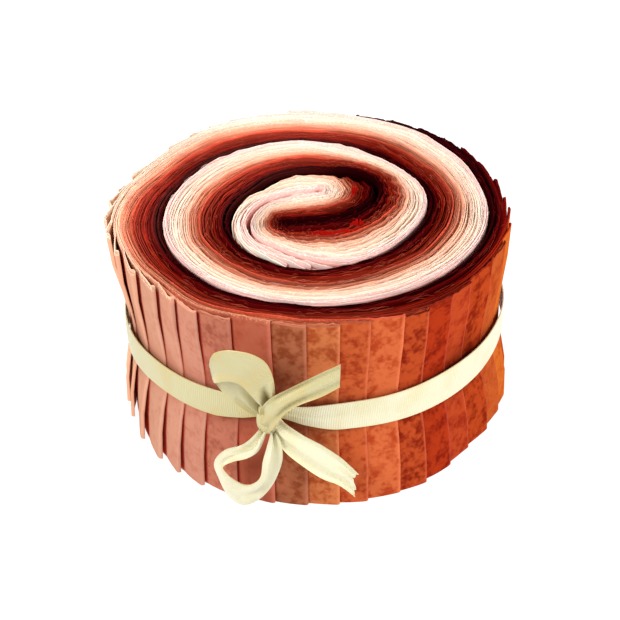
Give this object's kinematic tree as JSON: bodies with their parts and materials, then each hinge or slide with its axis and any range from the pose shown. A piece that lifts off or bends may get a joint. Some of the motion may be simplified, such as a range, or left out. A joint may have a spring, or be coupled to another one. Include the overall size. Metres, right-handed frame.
{
  "type": "fabric strip roll",
  "caption": "Bundle of folded cotton strips wound side by side into one squat roll and tied round the waist with a narrow satin ribbon in a bow",
  "frame": {"origin": "centre of the flat foot that the roll stands on, on the roll's own axis", "axes": "+Z is the roll's axis, pointing up out of the upper end; -Y is the front, where the bow is tied; +X is to the right of the bow"},
  "size_m": [0.118, 0.1279, 0.0642],
  "materials": {
    "cotton": "matt woven cotton, each strip mottled in its own shade from pink white through terracotta to dark maroon",
    "ribbon": "pale cream satin with a fine crosswise rib"
  },
  "bodies": {
    "root": {"fabric_roll": "cotton", "ribbon_band": "ribbon", "ribbon_knot": "ribbon", "ribbon_loop_upper": "ribbon", "ribbon_loop_lower": "ribbon", "ribbon_tail_upper": "ribbon", "ribbon_tail_lower": "ribbon"}
  },
  "joints": []
}
